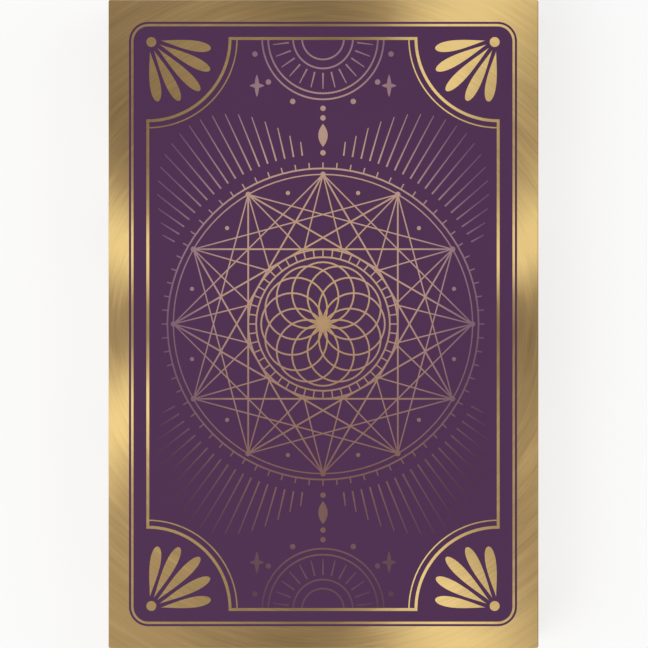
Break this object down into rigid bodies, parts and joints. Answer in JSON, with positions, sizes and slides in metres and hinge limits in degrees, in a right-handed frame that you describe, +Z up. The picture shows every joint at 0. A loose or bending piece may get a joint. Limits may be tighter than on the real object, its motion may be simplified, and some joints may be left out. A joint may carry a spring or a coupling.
{
  "type": "oracle card deck",
  "caption": "Squared stack of printed cards with gold-bordered backs, lying face down, that fans open about its lower edge and lets the top card slide off.",
  "frame": {"origin": "on the table, under the middle of the squared deck", "axes": "+Z up out of the stack, +Y along the card's long side towards its top edge, +X along its short side"},
  "size_m": [0.0862, 0.1302, 0.0176],
  "materials": {
    "printed_card": "matte laminated purple print, gold foil border and line art, gilt edges"
  },
  "bodies": {
    "card_01": {"card_01": "printed_card"},
    "card_02": {"card_02": "printed_card"},
    "card_03": {"card_03": "printed_card"},
    "card_04": {"card_04": "printed_card"},
    "card_05": {"card_05": "printed_card"},
    "card_06": {"card_06": "printed_card"},
    "card_07": {"card_07": "printed_card"},
    "card_08": {"card_08": "printed_card"},
    "card_09": {"card_09": "printed_card"},
    "card_10": {"card_10": "printed_card"},
    "card_11": {"card_11": "printed_card"},
    "card_12": {"card_12": "printed_card"},
    "card_13": {"card_13": "printed_card"},
    "card_14": {"card_14": "printed_card"},
    "card_15": {"card_15": "printed_card"},
    "card_16": {"card_16": "printed_card"},
    "card_17": {"card_17": "printed_card"},
    "card_18": {"card_18": "printed_card"},
    "card_19": {"card_19": "printed_card"},
    "card_20": {"card_20": "printed_card"},
    "card_21": {"card_21": "printed_card"},
    "card_22": {"card_22": "printed_card"},
    "card_23": {"card_23": "printed_card"},
    "card_24": {"card_24": "printed_card"},
    "card_25": {"card_25": "printed_card"},
    "card_26": {"card_26": "printed_card"},
    "card_27": {"card_27": "printed_card"},
    "card_28": {"card_28": "printed_card"},
    "card_29": {"card_29": "printed_card"},
    "card_30": {"card_30": "printed_card"},
    "card_31": {"card_31": "printed_card"},
    "card_32": {"card_32": "printed_card"},
    "card_33": {"card_33": "printed_card"},
    "card_34": {"card_34": "printed_card"},
    "card_35": {"card_35": "printed_card"},
    "card_36": {"card_36": "printed_card"},
    "card_37": {"card_37": "printed_card"},
    "card_38": {"card_38": "printed_card"},
    "card_39": {"card_39": "printed_card"},
    "card_40": {"card_40": "printed_card"},
    "card_41": {"card_41": "printed_card"},
    "card_42": {"card_42": "printed_card"},
    "card_43": {"card_43": "printed_card"},
    "card_44": {"card_44": "printed_card"}
  },
  "joints": [
    {"name": "fan_02", "type": "hinge", "parent": "card_01", "child": "card_02", "pos_m": [0, -0.047, 0], "axis": [0, 0, -1], "range_deg": [0, 3]},
    {"name": "fan_03", "type": "hinge", "parent": "card_01", "child": "card_03", "pos_m": [0, -0.047, 0], "axis": [0, 0, -1], "range_deg": [0, 6]},
    {"name": "fan_04", "type": "hinge", "parent": "card_01", "child": "card_04", "pos_m": [0, -0.047, 0], "axis": [0, 0, -1], "range_deg": [0, 9]},
    {"name": "fan_05", "type": "hinge", "parent": "card_01", "child": "card_05", "pos_m": [0, -0.047, 0], "axis": [0, 0, -1], "range_deg": [0, 12]},
    {"name": "fan_06", "type": "hinge", "parent": "card_01", "child": "card_06", "pos_m": [0, -0.047, 0], "axis": [0, 0, -1], "range_deg": [0, 15]},
    {"name": "fan_07", "type": "hinge", "parent": "card_01", "child": "card_07", "pos_m": [0, -0.047, 0], "axis": [0, 0, -1], "range_deg": [0, 18]},
    {"name": "fan_08", "type": "hinge", "parent": "card_01", "child": "card_08", "pos_m": [0, -0.047, 0], "axis": [0, 0, -1], "range_deg": [0, 21]},
    {"name": "fan_09", "type": "hinge", "parent": "card_01", "child": "card_09", "pos_m": [0, -0.047, 0], "axis": [0, 0, -1], "range_deg": [0, 24]},
    {"name": "fan_10", "type": "hinge", "parent": "card_01", "child": "card_10", "pos_m": [0, -0.047, 0], "axis": [0, 0, -1], "range_deg": [0, 27]},
    {"name": "fan_11", "type": "hinge", "parent": "card_01", "child": "card_11", "pos_m": [0, -0.047, 0], "axis": [0, 0, -1], "range_deg": [0, 30]},
    {"name": "fan_12", "type": "hinge", "parent": "card_01", "child": "card_12", "pos_m": [0, -0.047, 0], "axis": [0, 0, -1], "range_deg": [0, 33]},
    {"name": "fan_13", "type": "hinge", "parent": "card_01", "child": "card_13", "pos_m": [0, -0.047, 0], "axis": [0, 0, -1], "range_deg": [0, 36]},
    {"name": "fan_14", "type": "hinge", "parent": "card_01", "child": "card_14", "pos_m": [0, -0.047, 0], "axis": [0, 0, -1], "range_deg": [0, 39]},
    {"name": "fan_15", "type": "hinge", "parent": "card_01", "child": "card_15", "pos_m": [0, -0.047, 0], "axis": [0, 0, -1], "range_deg": [0, 42]},
    {"name": "fan_16", "type": "hinge", "parent": "card_01", "child": "card_16", "pos_m": [0, -0.047, 0], "axis": [0, 0, -1], "range_deg": [0, 45]},
    {"name": "fan_17", "type": "hinge", "parent": "card_01", "child": "card_17", "pos_m": [0, -0.047, 0], "axis": [0, 0, -1], "range_deg": [0, 48]},
    {"name": "fan_18", "type": "hinge", "parent": "card_01", "child": "card_18", "pos_m": [0, -0.047, 0], "axis": [0, 0, -1], "range_deg": [0, 51]},
    {"name": "fan_19", "type": "hinge", "parent": "card_01", "child": "card_19", "pos_m": [0, -0.047, 0], "axis": [0, 0, -1], "range_deg": [0, 54]},
    {"name": "fan_20", "type": "hinge", "parent": "card_01", "child": "card_20", "pos_m": [0, -0.047, 0], "axis": [0, 0, -1], "range_deg": [0, 57]},
    {"name": "fan_21", "type": "hinge", "parent": "card_01", "child": "card_21", "pos_m": [0, -0.047, 0], "axis": [0, 0, -1], "range_deg": [0, 60]},
    {"name": "fan_22", "type": "hinge", "parent": "card_01", "child": "card_22", "pos_m": [0, -0.047, 0], "axis": [0, 0, -1], "range_deg": [0, 63]},
    {"name": "fan_23", "type": "hinge", "parent": "card_01", "child": "card_23", "pos_m": [0, -0.047, 0], "axis": [0, 0, -1], "range_deg": [0, 66]},
    {"name": "fan_24", "type": "hinge", "parent": "card_01", "child": "card_24", "pos_m": [0, -0.047, 0], "axis": [0, 0, -1], "range_deg": [0, 69]},
    {"name": "fan_25", "type": "hinge", "parent": "card_01", "child": "card_25", "pos_m": [0, -0.047, 0], "axis": [0, 0, -1], "range_deg": [0, 72]},
    {"name": "fan_26", "type": "hinge", "parent": "card_01", "child": "card_26", "pos_m": [0, -0.047, 0], "axis": [0, 0, -1], "range_deg": [0, 75]},
    {"name": "fan_27", "type": "hinge", "parent": "card_01", "child": "card_27", "pos_m": [0, -0.047, 0], "axis": [0, 0, -1], "range_deg": [0, 78]},
    {"name": "fan_28", "type": "hinge", "parent": "card_01", "child": "card_28", "pos_m": [0, -0.047, 0], "axis": [0, 0, -1], "range_deg": [0, 81]},
    {"name": "fan_29", "type": "hinge", "parent": "card_01", "child": "card_29", "pos_m": [0, -0.047, 0], "axis": [0, 0, -1], "range_deg": [0, 84]},
    {"name": "fan_30", "type": "hinge", "parent": "card_01", "child": "card_30", "pos_m": [0, -0.047, 0], "axis": [0, 0, -1], "range_deg": [0, 87]},
    {"name": "fan_31", "type": "hinge", "parent": "card_01", "child": "card_31", "pos_m": [0, -0.047, 0], "axis": [0, 0, -1], "range_deg": [0, 90]},
    {"name": "fan_32", "type": "hinge", "parent": "card_01", "child": "card_32", "pos_m": [0, -0.047, 0], "axis": [0, 0, -1], "range_deg": [0, 93]},
    {"name": "fan_33", "type": "hinge", "parent": "card_01", "child": "card_33", "pos_m": [0, -0.047, 0], "axis": [0, 0, -1], "range_deg": [0, 96]},
    {"name": "fan_34", "type": "hinge", "parent": "card_01", "child": "card_34", "pos_m": [0, -0.047, 0], "axis": [0, 0, -1], "range_deg": [0, 99]},
    {"name": "fan_35", "type": "hinge", "parent": "card_01", "child": "card_35", "pos_m": [0, -0.047, 0], "axis": [0, 0, -1], "range_deg": [0, 102]},
    {"name": "fan_36", "type": "hinge", "parent": "card_01", "child": "card_36", "pos_m": [0, -0.047, 0], "axis": [0, 0, -1], "range_deg": [0, 105]},
    {"name": "fan_37", "type": "hinge", "parent": "card_01", "child": "card_37", "pos_m": [0, -0.047, 0], "axis": [0, 0, -1], "range_deg": [0, 108]},
    {"name": "fan_38", "type": "hinge", "parent": "card_01", "child": "card_38", "pos_m": [0, -0.047, 0], "axis": [0, 0, -1], "range_deg": [0, 111]},
    {"name": "fan_39", "type": "hinge", "parent": "card_01", "child": "card_39", "pos_m": [0, -0.047, 0], "axis": [0, 0, -1], "range_deg": [0, 114]},
    {"name": "fan_40", "type": "hinge", "parent": "card_01", "child": "card_40", "pos_m": [0, -0.047, 0], "axis": [0, 0, -1], "range_deg": [0, 117]},
    {"name": "fan_41", "type": "hinge", "parent": "card_01", "child": "card_41", "pos_m": [0, -0.047, 0], "axis": [0, 0, -1], "range_deg": [0, 120]},
    {"name": "fan_42", "type": "hinge", "parent": "card_01", "child": "card_42", "pos_m": [0, -0.047, 0], "axis": [0, 0, -1], "range_deg": [0, 123]},
    {"name": "fan_43", "type": "hinge", "parent": "card_01", "child": "card_43", "pos_m": [0, -0.047, 0], "axis": [0, 0, -1], "range_deg": [0, 126]},
    {"name": "draw_44", "type": "slide", "parent": "card_43", "child": "card_44", "axis": [0, 1, 0], "range_m": [0, 0.06]}
  ],
  "couplings": [
    {"joint": "fan_02", "follows": "fan_43", "ratio": 0.02381},
    {"joint": "fan_03", "follows": "fan_43", "ratio": 0.047619},
    {"joint": "fan_04", "follows": "fan_43", "ratio": 0.071429},
    {"joint": "fan_05", "follows": "fan_43", "ratio": 0.095238},
    {"joint": "fan_06", "follows": "fan_43", "ratio": 0.11905},
    {"joint": "fan_07", "follows": "fan_43", "ratio": 0.14286},
    {"joint": "fan_08", "follows": "fan_43", "ratio": 0.16667},
    {"joint": "fan_09", "follows": "fan_43", "ratio": 0.19048},
    {"joint": "fan_10", "follows": "fan_43", "ratio": 0.21429},
    {"joint": "fan_11", "follows": "fan_43", "ratio": 0.2381},
    {"joint": "fan_12", "follows": "fan_43", "ratio": 0.2619},
    {"joint": "fan_13", "follows": "fan_43", "ratio": 0.28571},
    {"joint": "fan_14", "follows": "fan_43", "ratio": 0.30952},
    {"joint": "fan_15", "follows": "fan_43", "ratio": 0.33333},
    {"joint": "fan_16", "follows": "fan_43", "ratio": 0.35714},
    {"joint": "fan_17", "follows": "fan_43", "ratio": 0.38095},
    {"joint": "fan_18", "follows": "fan_43", "ratio": 0.40476},
    {"joint": "fan_19", "follows": "fan_43", "ratio": 0.42857},
    {"joint": "fan_20", "follows": "fan_43", "ratio": 0.45238},
    {"joint": "fan_21", "follows": "fan_43", "ratio": 0.47619},
    {"joint": "fan_22", "follows": "fan_43", "ratio": 0.5},
    {"joint": "fan_23", "follows": "fan_43", "ratio": 0.52381},
    {"joint": "fan_24", "follows": "fan_43", "ratio": 0.54762},
    {"joint": "fan_25", "follows": "fan_43", "ratio": 0.57143},
    {"joint": "fan_26", "follows": "fan_43", "ratio": 0.59524},
    {"joint": "fan_27", "follows": "fan_43", "ratio": 0.61905},
    {"joint": "fan_28", "follows": "fan_43", "ratio": 0.64286},
    {"joint": "fan_29", "follows": "fan_43", "ratio": 0.66667},
    {"joint": "fan_30", "follows": "fan_43", "ratio": 0.69048},
    {"joint": "fan_31", "follows": "fan_43", "ratio": 0.71429},
    {"joint": "fan_32", "follows": "fan_43", "ratio": 0.7381},
    {"joint": "fan_33", "follows": "fan_43", "ratio": 0.7619},
    {"joint": "fan_34", "follows": "fan_43", "ratio": 0.78571},
    {"joint": "fan_35", "follows": "fan_43", "ratio": 0.80952},
    {"joint": "fan_36", "follows": "fan_43", "ratio": 0.83333},
    {"joint": "fan_37", "follows": "fan_43", "ratio": 0.85714},
    {"joint": "fan_38", "follows": "fan_43", "ratio": 0.88095},
    {"joint": "fan_39", "follows": "fan_43", "ratio": 0.90476},
    {"joint": "fan_40", "follows": "fan_43", "ratio": 0.92857},
    {"joint": "fan_41", "follows": "fan_43", "ratio": 0.95238},
    {"joint": "fan_42", "follows": "fan_43", "ratio": 0.97619}
  ]
}
